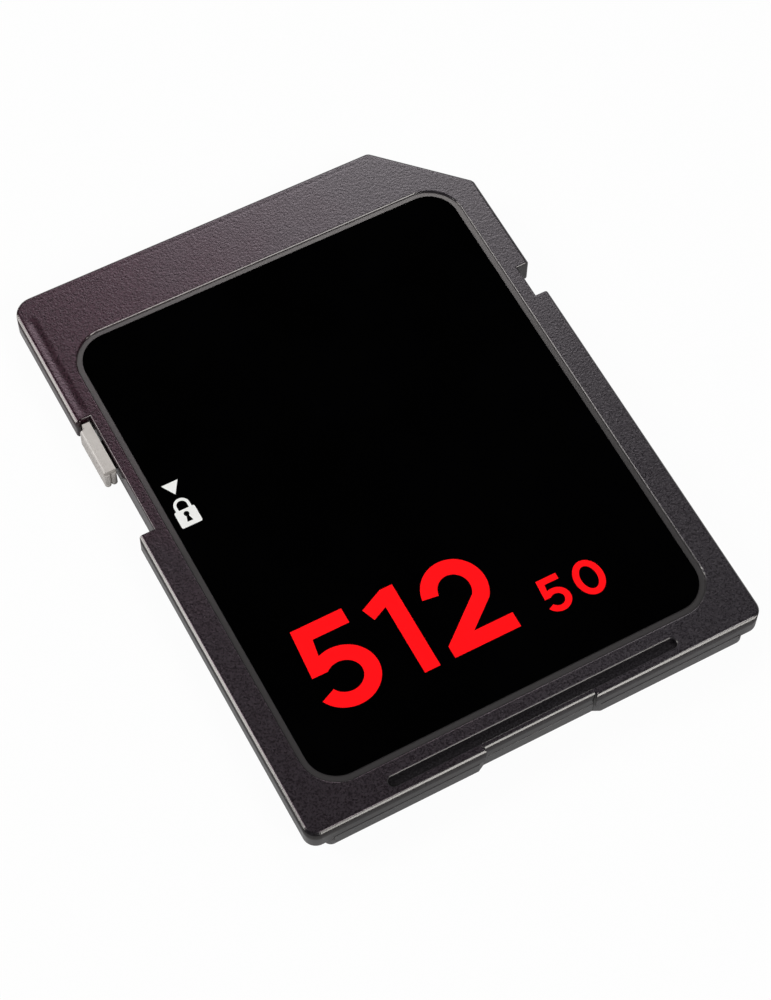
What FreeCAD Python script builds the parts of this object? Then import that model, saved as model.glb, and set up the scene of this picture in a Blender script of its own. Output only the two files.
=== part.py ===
import FreeCAD, Part
import os
import Sketcher

# A full-size memory card, lying on its back face with its label up.
# X runs across the card, +Y points to the contact end and +Z is up.
# The origin is the middle of the back face. All lengths are in millimetres.

# Distance within which two places count as the same when edges are picked
TOUCH = 0.001

# Every size that can be set by itself, with what it measures
SIZES = {
    # The whole card
    "card_width": (24.0, "across the two rails"),
    "card_length": (32.0, "from the rear edge to the contact end"),
    "card_thickness": (2.1, "back face to top face"),
    "rail_thickness": (1.4, "rails that run in the socket"),
    "slant_cut": (4.0, "legs of the cut corner at the contact end"),
    "corner_radius": (1.0, "the square corner at the contact end, seen from above"),
    "rear_corner_radius": (0.65, "the two rear corners of the rails, seen from above"),
    "slant_radius": (0.4, "where the cut corner meets the edges"),
    "edge_round": (0.18, "upper outside edges"),
    "rail_bevel": (0.1, "lower outside edges of the rails"),
    "cut_round": (0.1, "upper edges of the slot and the side notch"),
    # Walls of the upper shell
    "side_wall": (1.3, "beside the cavity"),
    "rear_wall": (1.2, "behind the cavity"),
    "front_wall": (1.0, "in front of the cavity"),
    "slant_wall": (0.8, "along the cut corner"),
    "ceiling_wall": (0.3, "between the cavity and the label recess"),
    "cavity_radius": (0.5, "upright corners of the cavity"),
    # Recess for the label
    "recess_side": (1.38, "from each side of the card"),
    "recess_rear": (1.7, "from the rear edge of the card"),
    "recess_front": (3.36, "from the contact end"),
    "recess_depth": (0.1, "below the top face"),
    "recess_radius": (1.9, "corners of the recess"),
    "recess_round": (0.08, "upper edges of the recess"),
    # Finger groove in the top face
    "groove_length": (15.2, "across the card, with its round ends"),
    "groove_width": (0.53, "along the card"),
    "groove_land": (0.1, "between the groove and the rounded edge of the rear notch"),
    "groove_depth": (0.3, "below the top face"),
    "groove_bevel": (0.05, "upper edges of the groove"),
    # Notches in the rear edge and the right edge
    "rear_notch_width": (5.8, "across the card, in both shells"),
    "rear_notch_depth": (0.18, "into the rear edge of each shell"),
    "rear_notch_flare": (0.35, "slope at each end, in the lower shell"),
    "side_notch_length": (1.85, "along the right edge"),
    "side_notch_depth": (0.66, "into the right edge"),
    "side_notch_front": (9.7, "from the contact end"),
    # Slot that the write protect slider runs in
    "slot_length": (7.0, "along the left edge"),
    "slot_depth": (0.78, "into the left edge"),
    "slot_front": (7.6, "from the contact end"),
    # Posts that hold the circuit board down
    "post_diameter": (1.0, "round posts under the ceiling"),
    "post_side": (4.5, "post centres from the sides of the card"),
    "post_rear": (2.6, "rear post centres from the rear edge"),
    "post_front": (2.8, "front post centres from the contact end"),
    # Lower shell
    "tray_side": (0.88, "step from the rails in to the lower shell"),
    "tray_front": (0.75, "step at the contact end"),
    "tray_slant": (0.6, "step along the cut corner"),
    "tray_radius": (0.4, "upright corners of the lower shell"),
    "tray_round": (0.2, "edges of the back face"),
    "seam_bevel": (0.05, "upper edges of the lower shell, along the seam"),
    "lip_height": (0.25, "lip along the rear edge, above the seam"),
    "lip_depth": (0.6, "lip along the rear edge, along the card"),
    "lip_gap": (0.08, "between the lip and the upper shell"),
    "floor_thickness": (0.35, "under the circuit board"),
    "tray_wall": (1.1, "round the tray"),
    "comb_wall": (0.6, "between the tray and the contact windows"),
    "comb_lead_length": (0.8, "slope under the front ends of the comb"),
    "comb_lead_height": (0.3, "slope under the front ends of the comb"),
    "rib_width": (0.8, "two ribs that carry the circuit board"),
    "rib_spacing": (8.0, "between the middles of the two ribs"),
    # Circuit board
    "board_thickness": (0.3, "laminate with its copper"),
    "board_gap": (0.15, "round the circuit board"),
    "board_radius": (0.3, "upright corners of the circuit board"),
    # Contacts
    "contact_thickness": (0.06, "gold plated pads under the circuit board"),
    "contact_radius": (0.2, "corners of a contact"),
    "contact_inset": (0.15, "from the edge of the circuit board"),
    "contact_width": (1.6, "contacts 1 to 6"),
    "contact_length": (4.0, "contacts 1 to 8"),
    "contact_1_side": (4.875, "middle of contact 1 from the right side"),
    "contact_6_side": (6.625, "middle of contact 6 from the left side"),
    "contact_7_side": (4.2, "middle of contact 7 from the left side"),
    "contact_7_width": (1.4, "contact 7"),
    "contact_8_side": (2.5, "middle of contact 8 from the left side"),
    "contact_8_width": (1.0, "contact 8"),
    "contact_9_side": (2.375, "middle of contact 9 from the right side"),
    "contact_9_width": (1.4, "contact 9"),
    "contact_9_length": (3.2, "contact 9"),
    "window_gap": (0.1, "between a contact and its window"),
    # Chips on the circuit board
    "controller_size": (6.0, "square controller chip"),
    "controller_side": (15.5, "middle of the controller from the right side"),
    "controller_front": (7.4, "middle of the controller from the contact end"),
    "controller_headroom": (0.15, "between the controller and the ceiling"),
    "memory_width": (12.0, "memory chip across the card"),
    "memory_length": (16.0, "memory chip along the card"),
    "memory_headroom": (0.07, "between the memory chip and the ceiling"),
    "chip_gap": (1.0, "between the controller and the memory chip"),
    "package_bevel": (0.08, "upper edges of a chip"),
    "dimple_diameter": (0.8, "mark at the first terminal of a chip"),
    "dimple_depth": (0.05, "mark at the first terminal of a chip"),
    "dimple_inset": (1.0, "middle of the mark from two edges of its chip"),
    # Small parts on the circuit board
    "passive_length": (1.0, "along the card"),
    "passive_width": (0.5, "across the card"),
    "passive_bevel": (0.05, "upper edges"),
    "passive_pitch": (1.4, "between neighbours"),
    "passive_side": (10.3, "first of each row from the right side"),
    "capacitor_headroom": (0.15, "between the capacitors and the ceiling"),
    "capacitor_front": (9.0, "middle of the row from the contact end"),
    "resistor_headroom": (0.3, "between the resistors and the ceiling"),
    "resistor_front": (6.8, "middle of the row from the contact end"),
    # Write protect slider
    "slider_length": (3.1, "along the slot"),
    "slider_drop": (0.2, "below the top face"),
    "slider_gap": (0.13, "between the slider and the wall of the slot"),
    "slider_end_gap": (0.15, "in front of the slider at rest"),
    "slider_round": (0.16, "upper outside edge of the slider"),
    "slider_bite_length": (0.3, "step at the front outside corner"),
    "slider_bite_width": (0.25, "step at the front outside corner"),
    "track_gap": (0.05, "above and below the tongue"),
    "tongue_length": (1.6, "along the slot"),
    "tongue_thickness": (0.3, "through the slit in the wall of the slot"),
    "flange_gap": (0.1, "between the flange and the wall it runs behind"),
    "flange_length": (2.7, "along the slot"),
    "flange_width": (0.35, "across the card"),
    "flange_headroom": (0.25, "between the flange and the ceiling"),
    # Label on the top face
    "label_thickness": (0.06, "printed film"),
    "label_side_gap": (0.29, "to the recess at each side"),
    "label_rear_gap": (0.33, "to the recess at the rear"),
    "label_front_gap": (0.29, "to the recess at the front"),
    "label_radius": (1.55, "corners of the label"),
}

# Places that several pieces share, worked out from the sizes
RIGHT = "(Sizes.card_width / 2)"
LEFT = "(-Sizes.card_width / 2)"
FRONT = "(Sizes.card_length / 2)"
REAR = "(-Sizes.card_length / 2)"
TOP = "(Sizes.card_thickness)"
SEAM = "(Sizes.card_thickness - Sizes.rail_thickness)"
CEILING = "(Sizes.card_thickness - Sizes.recess_depth - Sizes.ceiling_wall)"
RECESS_FLOOR = "(Sizes.card_thickness - Sizes.recess_depth)"
BOARD_TOP = f"({SEAM} + Sizes.board_thickness)"
SLOT_WALL = f"({LEFT} + Sizes.slot_depth)"
SLOT_FRONT = f"({FRONT} - Sizes.slot_front)"
SLOT_REAR = f"({SLOT_FRONT} - Sizes.slot_length)"
TRACK = f"({SEAM} + Sizes.track_gap)"
FLANGE_OUTSIDE = f"({LEFT} + Sizes.side_wall + Sizes.flange_gap)"
FLANGE_INSIDE = f"({FLANGE_OUTSIDE} + Sizes.flange_width)"
NOTCH_BACK = f"({REAR} + Sizes.rear_notch_depth)"
GROOVE_REAR = f"({NOTCH_BACK} + Sizes.edge_round + Sizes.groove_land)"
LIP_RIGHT = f"({RIGHT} - Sizes.tray_side - Sizes.tray_radius)"
LIP_FRONT = f"({REAR} + Sizes.lip_depth)"
LIP_TOP = f"({SEAM} + Sizes.lip_height)"
RECESS_RIGHT = f"({RIGHT} - Sizes.recess_side)"
RECESS_REAR = f"({REAR} + Sizes.recess_rear)"
RECESS_FRONT = f"({FRONT} - Sizes.recess_front)"
BOARD_FRONT = f"({FRONT} - Sizes.front_wall - Sizes.board_gap)"
BOARD_SLANT = "(Sizes.slant_wall + Sizes.board_gap)"

doc = FreeCAD.newDocument("memory_card")
sheet = doc.addObject("Spreadsheet::Sheet", "Sizes")
for row, (alias, (size, meaning)) in enumerate(SIZES.items(), start=1):
    sheet.set(f"A{row}", meaning)
    sheet.set(f"B{row}", str(size))
    sheet.setAlias(f"B{row}", alias)
doc.recompute()

subparts = []


def value(expression):
    """The number that an expression over the sheet gives."""
    return float(sheet.evalExpression(expression))


def new_body(label):
    """An empty sub-part, whose label names its file."""
    body = doc.addObject("PartDesign::Body", label)
    body.Label = label
    subparts.append(body)
    return body


def place_body(body, x, y, z):
    """Moves a body that was drawn round its own middle to its place on the card."""
    body.setExpression("Placement.Base.x", x)
    body.setExpression("Placement.Base.y", y)
    body.setExpression("Placement.Base.z", z)


def new_sketch(body, name, offset, role="XY_Plane"):
    """An empty sketch on one of the body's own planes, moved along that plane's normal."""
    sketch = body.newObject("Sketcher::SketchObject", name)
    base = next(plane for plane in body.Origin.OriginFeatures if plane.Role == role)
    sketch.AttachmentSupport = [(base, "")]
    sketch.MapMode = "FlatFace"
    sketch.setExpression("AttachmentOffset.Base.z", offset)
    return sketch


def tie_point(sketch, geometry, point, x, y):
    """Ties a point of a sketch to a place, measured from the sketch's origin."""
    for kind, expression in (("DistanceX", x), ("DistanceY", y)):
        distance = value(expression)
        if distance < 0:
            ends = (geometry, point, -1, 1)
            expression = f"-({expression})"
        else:
            ends = (-1, 1, geometry, point)
        index = sketch.addConstraint(Sketcher.Constraint(kind, *ends, abs(distance)))
        name = f"{kind}_{geometry}"
        sketch.renameConstraint(index, name)
        sketch.setExpression(f"Constraints.{name}", expression)


def tie_radius(sketch, geometry, radius):
    """Ties the radius of a circle or an arc to a size."""
    index = sketch.addConstraint(Sketcher.Constraint("Radius", geometry, value(radius)))
    name = f"Radius_{geometry}"
    sketch.renameConstraint(index, name)
    sketch.setExpression(f"Constraints.{name}", radius)


def draw_polygon(sketch, corners):
    """A closed outline through corners given as pairs of expressions."""
    points = [FreeCAD.Vector(value(x), value(y), 0) for x, y in corners]
    first = sketch.GeometryCount
    for start, end in zip(points, points[1:] + points[:1]):
        sketch.addGeometry(Part.LineSegment(start, end))
    for step, (x, y) in enumerate(corners):
        following = first + (step + 1) % len(corners)
        sketch.addConstraint(Sketcher.Constraint("Coincident", first + step, 2, following, 1))
        tie_point(sketch, first + step, 1, x, y)


def rectangle(left, right, rear, front):
    """Corners of a rectangle."""
    return [(left, rear), (right, rear), (right, front), (left, front)]


def centred_rectangle(width, length):
    """Corners of a rectangle round the sketch's origin."""
    return rectangle(f"(-{width} / 2)", f"({width} / 2)", f"(-{length} / 2)", f"({length} / 2)")


def slant_sum(slant):
    """What x and y add up to along the cut corner, set in by a distance."""
    return f"({RIGHT} + {FRONT} - Sizes.slant_cut - sqrt(2) * {slant})"


def card_outline(side, rear, front, slant):
    """Corners of the card's outline, set in by a distance at each kind of edge."""
    right = f"({RIGHT} - {side})"
    near = f"({REAR} + {rear})"
    far = f"({FRONT} - {front})"
    return [
        (f"-{right}", near),
        (right, near),
        (right, f"({slant_sum(slant)} - {right})"),
        (f"({slant_sum(slant)} - {far})", far),
        (f"-{right}", far),
    ]


def draw_circle(sketch, x, y, radius):
    """A circle round a place."""
    centre = FreeCAD.Vector(value(x), value(y), 0)
    index = sketch.addGeometry(Part.Circle(centre, FreeCAD.Vector(0, 0, 1), value(radius)))
    tie_point(sketch, index, 3, x, y)
    tie_radius(sketch, index, radius)


def draw_round_ended(sketch, half_span, y, radius):
    """A bar across the card with round ends, whose end centres lie half_span from the middle."""
    quarter = FreeCAD.Units.Quantity("90 deg").getValueAs("rad").Value
    span, middle, size = value(half_span), value(y), value(radius)
    up = FreeCAD.Vector(0, 0, 1)
    right_centre = FreeCAD.Vector(span, middle, 0)
    left_centre = FreeCAD.Vector(-span, middle, 0)
    rise = FreeCAD.Vector(0, size, 0)
    far = sketch.addGeometry(Part.LineSegment(left_centre + rise, right_centre + rise))
    right = sketch.addGeometry(Part.ArcOfCircle(Part.Circle(right_centre, up, size), -quarter, quarter))
    near = sketch.addGeometry(Part.LineSegment(right_centre - rise, left_centre - rise))
    left = sketch.addGeometry(Part.ArcOfCircle(Part.Circle(left_centre, up, size), quarter, 3 * quarter))
    for joined in ((far, 2, right, 2), (right, 1, near, 1), (near, 2, left, 2), (left, 1, far, 1)):
        sketch.addConstraint(Sketcher.Constraint("Tangent", *joined))
    sketch.addConstraint(Sketcher.Constraint("Equal", left, right))
    tie_point(sketch, right, 3, half_span, y)
    tie_point(sketch, left, 3, f"-({half_span})", y)
    tie_radius(sketch, right, radius)


def raise_pad(body, name, sketch, height):
    """Material from a sketch upwards."""
    pad = body.newObject("PartDesign::Pad", name)
    pad.Profile = sketch
    pad.setExpression("Length", height)
    doc.recompute()


def cut_pocket(body, name, sketch, depth, upwards=False):
    """Cuts a sketch's shape out of a body, and stops if it cut nothing."""
    before = body.Shape.Volume
    pocket = body.newObject("PartDesign::Pocket", name)
    pocket.Profile = sketch
    pocket.Reversed = upwards
    pocket.setExpression("Length", depth)
    doc.recompute()
    if not body.Shape.Volume < before:
        raise RuntimeError(f"{name} cuts nothing")


def dress_edges(body, kind, name, size_name, size, chosen):
    """A fillet or a chamfer on every edge that the test picks."""
    base = body.Tip
    picked = [f"Edge{index}" for index, edge in enumerate(base.Shape.Edges, start=1) if chosen(edge)]
    if not picked:
        raise RuntimeError(f"{name} finds no edge")
    dressing = body.newObject(f"PartDesign::{kind}", name)
    dressing.Base = (base, picked)
    dressing.setExpression(size_name, size)
    doc.recompute()


def round_edges(body, name, radius, chosen):
    """Rounds every edge that the test picks."""
    dress_edges(body, "Fillet", name, "Radius", radius, chosen)


def bevel_edges(body, name, size, chosen):
    """Bevels every edge that the test picks."""
    dress_edges(body, "Chamfer", name, "Size", size, chosen)


def round_upright(body, name, radius, corners):
    """Rounds the upright edges that stand on the given corners."""
    places = [(value(x), value(y)) for x, y in corners]

    def stands_on_corner(edge):
        box = edge.BoundBox
        if box.XLength > TOUCH or box.YLength > TOUCH:
            return False
        return any(abs(box.XMin - x) < TOUCH and abs(box.YMin - y) < TOUCH for x, y in places)

    round_edges(body, name, radius, stands_on_corner)


def lies_at(height):
    """A test for edges that lie level at a height."""
    level = value(height)

    def level_edge(edge):
        box = edge.BoundBox
        return abs(box.ZMin - level) < TOUCH and abs(box.ZMax - level) < TOUCH

    return level_edge


def make_upper_shell():
    """The moulded top half: rails, label recess, slider slot and the posts over the board."""
    body = new_body("upper_shell")
    corners = card_outline("0", "0", "0", "0")
    outline = new_sketch(body, "rail_outline", SEAM)
    draw_polygon(outline, corners)
    raise_pad(body, "rails", outline, "Sizes.rail_thickness")
    round_upright(body, "rear_corners", "Sizes.rear_corner_radius", [corners[0], corners[1]])
    round_upright(body, "square_corner", "Sizes.corner_radius", [corners[4]])
    round_upright(body, "slant_corners", "Sizes.slant_radius", [corners[2], corners[3]])

    half_notch = "(Sizes.rear_notch_width / 2)"
    rear_notch = new_sketch(body, "rear_notch_outline", TOP)
    draw_polygon(rear_notch, rectangle(f"-{half_notch}", half_notch, REAR, NOTCH_BACK))
    cut_pocket(body, "rear_notch", rear_notch, "Sizes.rail_thickness")
    round_edges(body, "upper_edges", "min(Sizes.edge_round; 0.95 * Sizes.rear_notch_depth)", lies_at(TOP))
    bevel_edges(body, "rail_edges", "Sizes.rail_bevel", lies_at(SEAM))

    slot = rectangle(f"({LEFT} - Sizes.slot_depth)", SLOT_WALL, SLOT_REAR, SLOT_FRONT)
    notch_front = f"({FRONT} - Sizes.side_notch_front)"
    notch_rear = f"({notch_front} - Sizes.side_notch_length)"
    notch_wall = f"({RIGHT} - Sizes.side_notch_depth)"
    side_notch = rectangle(notch_wall, f"({RIGHT} + Sizes.side_notch_depth)", notch_rear, notch_front)
    edge_cuts = new_sketch(body, "slot_and_side_notch", TOP)
    draw_polygon(edge_cuts, slot)
    draw_polygon(edge_cuts, side_notch)
    cut_pocket(body, "edge_cuts", edge_cuts, "Sizes.rail_thickness")
    at_top = lies_at(TOP)
    cut_walls = [value(SLOT_WALL), value(notch_wall)]
    cut_ends = [value(place) for place in (SLOT_REAR, SLOT_FRONT, notch_rear, notch_front)]

    def borders_cut(edge):
        box = edge.BoundBox
        along = box.XLength < TOUCH and any(abs(box.XMin - x) < TOUCH for x in cut_walls)
        across = box.YLength < TOUCH and any(abs(box.YMin - y) < TOUCH for y in cut_ends)
        return at_top(edge) and (along or across)

    round_edges(body, "edge_cut_edges", "Sizes.cut_round", borders_cut)

    cavity_corners = card_outline("Sizes.side_wall", "Sizes.rear_wall",
                                  "Sizes.front_wall", "Sizes.slant_wall")
    cavity = new_sketch(body, "cavity_outline", SEAM)
    draw_polygon(cavity, cavity_corners)
    cut_pocket(body, "cavity", cavity, f"{CEILING} - {SEAM}", upwards=True)
    round_upright(body, "cavity_corners", "Sizes.cavity_radius", cavity_corners)

    recess_corners = rectangle(f"-{RECESS_RIGHT}", RECESS_RIGHT, RECESS_REAR, RECESS_FRONT)
    recess = new_sketch(body, "label_recess_outline", TOP)
    draw_polygon(recess, recess_corners)
    cut_pocket(body, "label_recess", recess, "Sizes.recess_depth")
    round_upright(body, "label_recess_corners", "Sizes.recess_radius", recess_corners)
    reach = value(RECESS_RIGHT) + TOUCH
    rear_reach = value(RECESS_REAR) - TOUCH

    def borders_recess(edge):
        box = edge.BoundBox
        return at_top(edge) and box.XMin > -reach and box.XMax < reach and box.YMin > rear_reach

    round_edges(body, "label_recess_edges", "min(Sizes.recess_round; 0.95 * Sizes.recess_depth)",
                borders_recess)

    groove_radius = "(Sizes.groove_width / 2)"
    groove = new_sketch(body, "finger_groove_outline", TOP)
    draw_round_ended(groove, f"(Sizes.groove_length / 2 - {groove_radius})",
                     f"({GROOVE_REAR} + {groove_radius})", groove_radius)
    cut_pocket(body, "finger_groove", groove, "Sizes.groove_depth")
    groove_rear = value(GROOVE_REAR) - TOUCH
    groove_front = value(f"{GROOVE_REAR} + Sizes.groove_width") + TOUCH

    def borders_groove(edge):
        box = edge.BoundBox
        return at_top(edge) and box.YMin > groove_rear and box.YMax < groove_front

    bevel_edges(body, "finger_groove_edges", "Sizes.groove_bevel", borders_groove)

    seat_right = f"({LIP_RIGHT} + Sizes.lip_gap)"
    seat = new_sketch(body, "lip_seat_outline", SEAM)
    draw_polygon(seat, rectangle(f"-{seat_right}", seat_right, f"({REAR} - Sizes.lip_depth)",
                                 f"({LIP_FRONT} + Sizes.lip_gap)"))
    cut_pocket(body, "lip_seat", seat, "Sizes.lip_height + Sizes.lip_gap", upwards=True)

    slit = new_sketch(body, "tongue_slit_outline", SEAM)
    draw_polygon(slit, rectangle(LEFT, FLANGE_OUTSIDE, SLOT_REAR, SLOT_FRONT))
    cut_pocket(body, "tongue_slit", slit, "2 * Sizes.track_gap + Sizes.tongue_thickness", upwards=True)

    posts = new_sketch(body, "post_outlines", BOARD_TOP)
    for x in (f"({LEFT} + Sizes.post_side)", f"({RIGHT} - Sizes.post_side)"):
        for y in (f"({REAR} + Sizes.post_rear)", f"({FRONT} - Sizes.post_front)"):
            draw_circle(posts, x, y, "(Sizes.post_diameter / 2)")
    raise_pad(body, "hold_down_posts", posts, f"{CEILING} - {BOARD_TOP}")


def contact_places():
    """Number, middle across the card, front end, width and length of each contact."""
    front = f"({BOARD_FRONT} - Sizes.contact_inset)"
    pitch = "((Sizes.card_width - Sizes.contact_1_side - Sizes.contact_6_side) / 5)"
    places = []
    for number in range(1, 7):
        x = f"({RIGHT} - Sizes.contact_1_side - {number - 1} * {pitch})"
        places.append((number, x, front, "Sizes.contact_width", "Sizes.contact_length"))
    for number in (7, 8):
        x = f"({LEFT} + Sizes.contact_{number}_side)"
        places.append((number, x, front, f"Sizes.contact_{number}_width", "Sizes.contact_length"))
    x = f"({RIGHT} - Sizes.contact_9_side)"
    outside = f"({x} + Sizes.contact_9_width / 2)"
    front = f"({slant_sum(BOARD_SLANT)} - {outside} - Sizes.contact_inset)"
    places.append((9, x, front, "Sizes.contact_9_width", "Sizes.contact_9_length"))
    return places


def make_lower_shell():
    """The moulded bottom half: a tray with a lip at the rear and a comb of ribs between the contact windows.

    The last contact's window reaches furthest back, so the tray ends behind it.
    """
    body = new_body("lower_shell")
    corners = card_outline("Sizes.tray_side", "0", "Sizes.tray_front", "Sizes.tray_slant")
    outline = new_sketch(body, "tray_outline", "0")
    draw_polygon(outline, corners)
    raise_pad(body, "tray_block", outline, SEAM)
    round_upright(body, "tray_corners", "Sizes.tray_radius", corners)
    bevel_edges(body, "seam_edges", "Sizes.seam_bevel", lies_at(SEAM))

    lip = new_sketch(body, "rear_lip_outline", f"({SEAM} - Sizes.seam_bevel)")
    draw_polygon(lip, rectangle(f"-{LIP_RIGHT}", LIP_RIGHT, REAR, LIP_FRONT))
    raise_pad(body, "rear_lip", lip, "Sizes.lip_height + Sizes.seam_bevel")
    bevel_edges(body, "rear_lip_edges", "Sizes.seam_bevel", lies_at(LIP_TOP))

    half_notch = "(Sizes.rear_notch_width / 2)"
    half_mouth = f"({half_notch} + Sizes.rear_notch_flare)"
    notch = new_sketch(body, "tray_notch_outline", LIP_TOP)
    draw_polygon(notch, [(f"-{half_mouth}", REAR), (half_mouth, REAR),
                         (half_notch, NOTCH_BACK), (f"-{half_notch}", NOTCH_BACK)])
    cut_pocket(body, "tray_notch", notch, LIP_TOP)
    round_edges(body, "back_face_edges", "Sizes.tray_round", lies_at("0"))

    comb_front = f"({FRONT} - Sizes.tray_front)"
    lead = new_sketch(body, "comb_lead_outline", LEFT, role="YZ_Plane")
    draw_polygon(lead, [(f"({comb_front} - Sizes.comb_lead_length)", "0"), (comb_front, "0"),
                        (comb_front, "Sizes.comb_lead_height")])
    cut_pocket(body, "comb_lead", lead, "Sizes.card_width", upwards=True)

    windows = new_sketch(body, "contact_window_outlines", SEAM)
    for _, x, front, width, length in contact_places():
        half = f"({width} / 2 + Sizes.window_gap)"
        window_rear = f"({front} - {length} - Sizes.window_gap)"
        draw_polygon(windows, rectangle(f"({x} - {half})", f"({x} + {half})", window_rear, FRONT))
    cut_pocket(body, "contact_windows", windows, SEAM)

    side = f"({RIGHT} - Sizes.tray_side - Sizes.tray_wall)"
    rear = f"({REAR} + Sizes.tray_wall)"
    front = f"({window_rear} - Sizes.comb_wall)"
    rib_outside = "((Sizes.rib_spacing + Sizes.rib_width) / 2)"
    rib_inside = "((Sizes.rib_spacing - Sizes.rib_width) / 2)"
    tray = new_sketch(body, "tray_pocket_outlines", SEAM)
    for left, right in ((f"-{side}", f"-{rib_outside}"), (f"-{rib_inside}", rib_inside), (rib_outside, side)):
        draw_polygon(tray, rectangle(left, right, rear, front))
    cut_pocket(body, "tray_pockets", tray, f"{SEAM} - Sizes.floor_thickness")


def make_circuit_board():
    """The thin board between the shells, with a relief beside the slider's flange."""
    body = new_body("circuit_board")
    corners = card_outline("(Sizes.side_wall + Sizes.board_gap)", "(Sizes.rear_wall + Sizes.board_gap)",
                           "(Sizes.front_wall + Sizes.board_gap)", BOARD_SLANT)
    outline = new_sketch(body, "board_outline", SEAM)
    draw_polygon(outline, corners)
    raise_pad(body, "laminate", outline, "Sizes.board_thickness")
    relief_wall = f"({FLANGE_INSIDE} + Sizes.board_gap)"
    relief_corners = rectangle(LEFT, relief_wall, f"({SLOT_REAR} - Sizes.board_gap)",
                               f"({SLOT_FRONT} + Sizes.board_gap)")
    relief = new_sketch(body, "slider_relief_outline", BOARD_TOP)
    draw_polygon(relief, relief_corners)
    cut_pocket(body, "slider_relief", relief, "Sizes.board_thickness")
    round_upright(body, "board_corners", "Sizes.board_radius", corners + relief_corners)


def make_contact(number, x, front, width, length):
    """One gold plated pad on the underside of the board."""
    body = new_body(f"contact_{number}")
    corners = centred_rectangle(width, length)
    outline = new_sketch(body, f"contact_{number}_outline", "0")
    draw_polygon(outline, corners)
    raise_pad(body, f"contact_{number}_pad", outline, "Sizes.contact_thickness")
    round_upright(body, f"contact_{number}_corners", "Sizes.contact_radius", corners)
    place_body(body, x, f"{front} - {length} / 2", f"{SEAM} - Sizes.contact_thickness")


def make_chip(label, width, length, height, x, y):
    """A flat moulded chip with bevelled upper edges and a dimple at its first terminal."""
    body = new_body(label)
    outline = new_sketch(body, f"{label}_outline", "0")
    draw_polygon(outline, centred_rectangle(width, length))
    raise_pad(body, f"{label}_block", outline, height)
    bevel_edges(body, f"{label}_bevel", "Sizes.package_bevel", lies_at(height))
    dimple = new_sketch(body, f"{label}_dimple_outline", height)
    draw_circle(dimple, f"(Sizes.dimple_inset - {width} / 2)", f"({length} / 2 - Sizes.dimple_inset)",
                "(Sizes.dimple_diameter / 2)")
    cut_pocket(body, f"{label}_dimple", dimple, "Sizes.dimple_depth")
    place_body(body, x, y, BOARD_TOP)


def make_passive(label, height, x, y):
    """A small ceramic part with bevelled upper edges."""
    body = new_body(label)
    outline = new_sketch(body, f"{label}_outline", "0")
    draw_polygon(outline, centred_rectangle("Sizes.passive_width", "Sizes.passive_length"))
    raise_pad(body, f"{label}_block", outline, height)
    bevel_edges(body, f"{label}_bevel", "Sizes.passive_bevel", lies_at(height))
    place_body(body, x, y, BOARD_TOP)


def height_under_ceiling(headroom):
    """Height of a part that stands on the board and clears the ceiling by a named headroom."""
    return f"({CEILING} - {BOARD_TOP} - {headroom})"


def make_chips():
    """Everything that is soldered to the top of the board."""
    controller_y = f"({FRONT} - Sizes.controller_front)"
    make_chip("controller_chip", "Sizes.controller_size", "Sizes.controller_size",
              height_under_ceiling("Sizes.controller_headroom"),
              f"({RIGHT} - Sizes.controller_side)", controller_y)
    memory_front = f"({controller_y} - Sizes.controller_size / 2 - Sizes.chip_gap)"
    make_chip("memory_chip", "Sizes.memory_width", "Sizes.memory_length",
              height_under_ceiling("Sizes.memory_headroom"),
              "0", f"({memory_front} - Sizes.memory_length / 2)")
    for kind, count in (("capacitor", 4), ("resistor", 3)):
        for number in range(count):
            x = f"({RIGHT} - Sizes.passive_side + {number} * Sizes.passive_pitch)"
            make_passive(f"{kind}_{number + 1}", height_under_ceiling(f"Sizes.{kind}_headroom"),
                         x, f"({FRONT} - Sizes.{kind}_front)")


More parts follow.
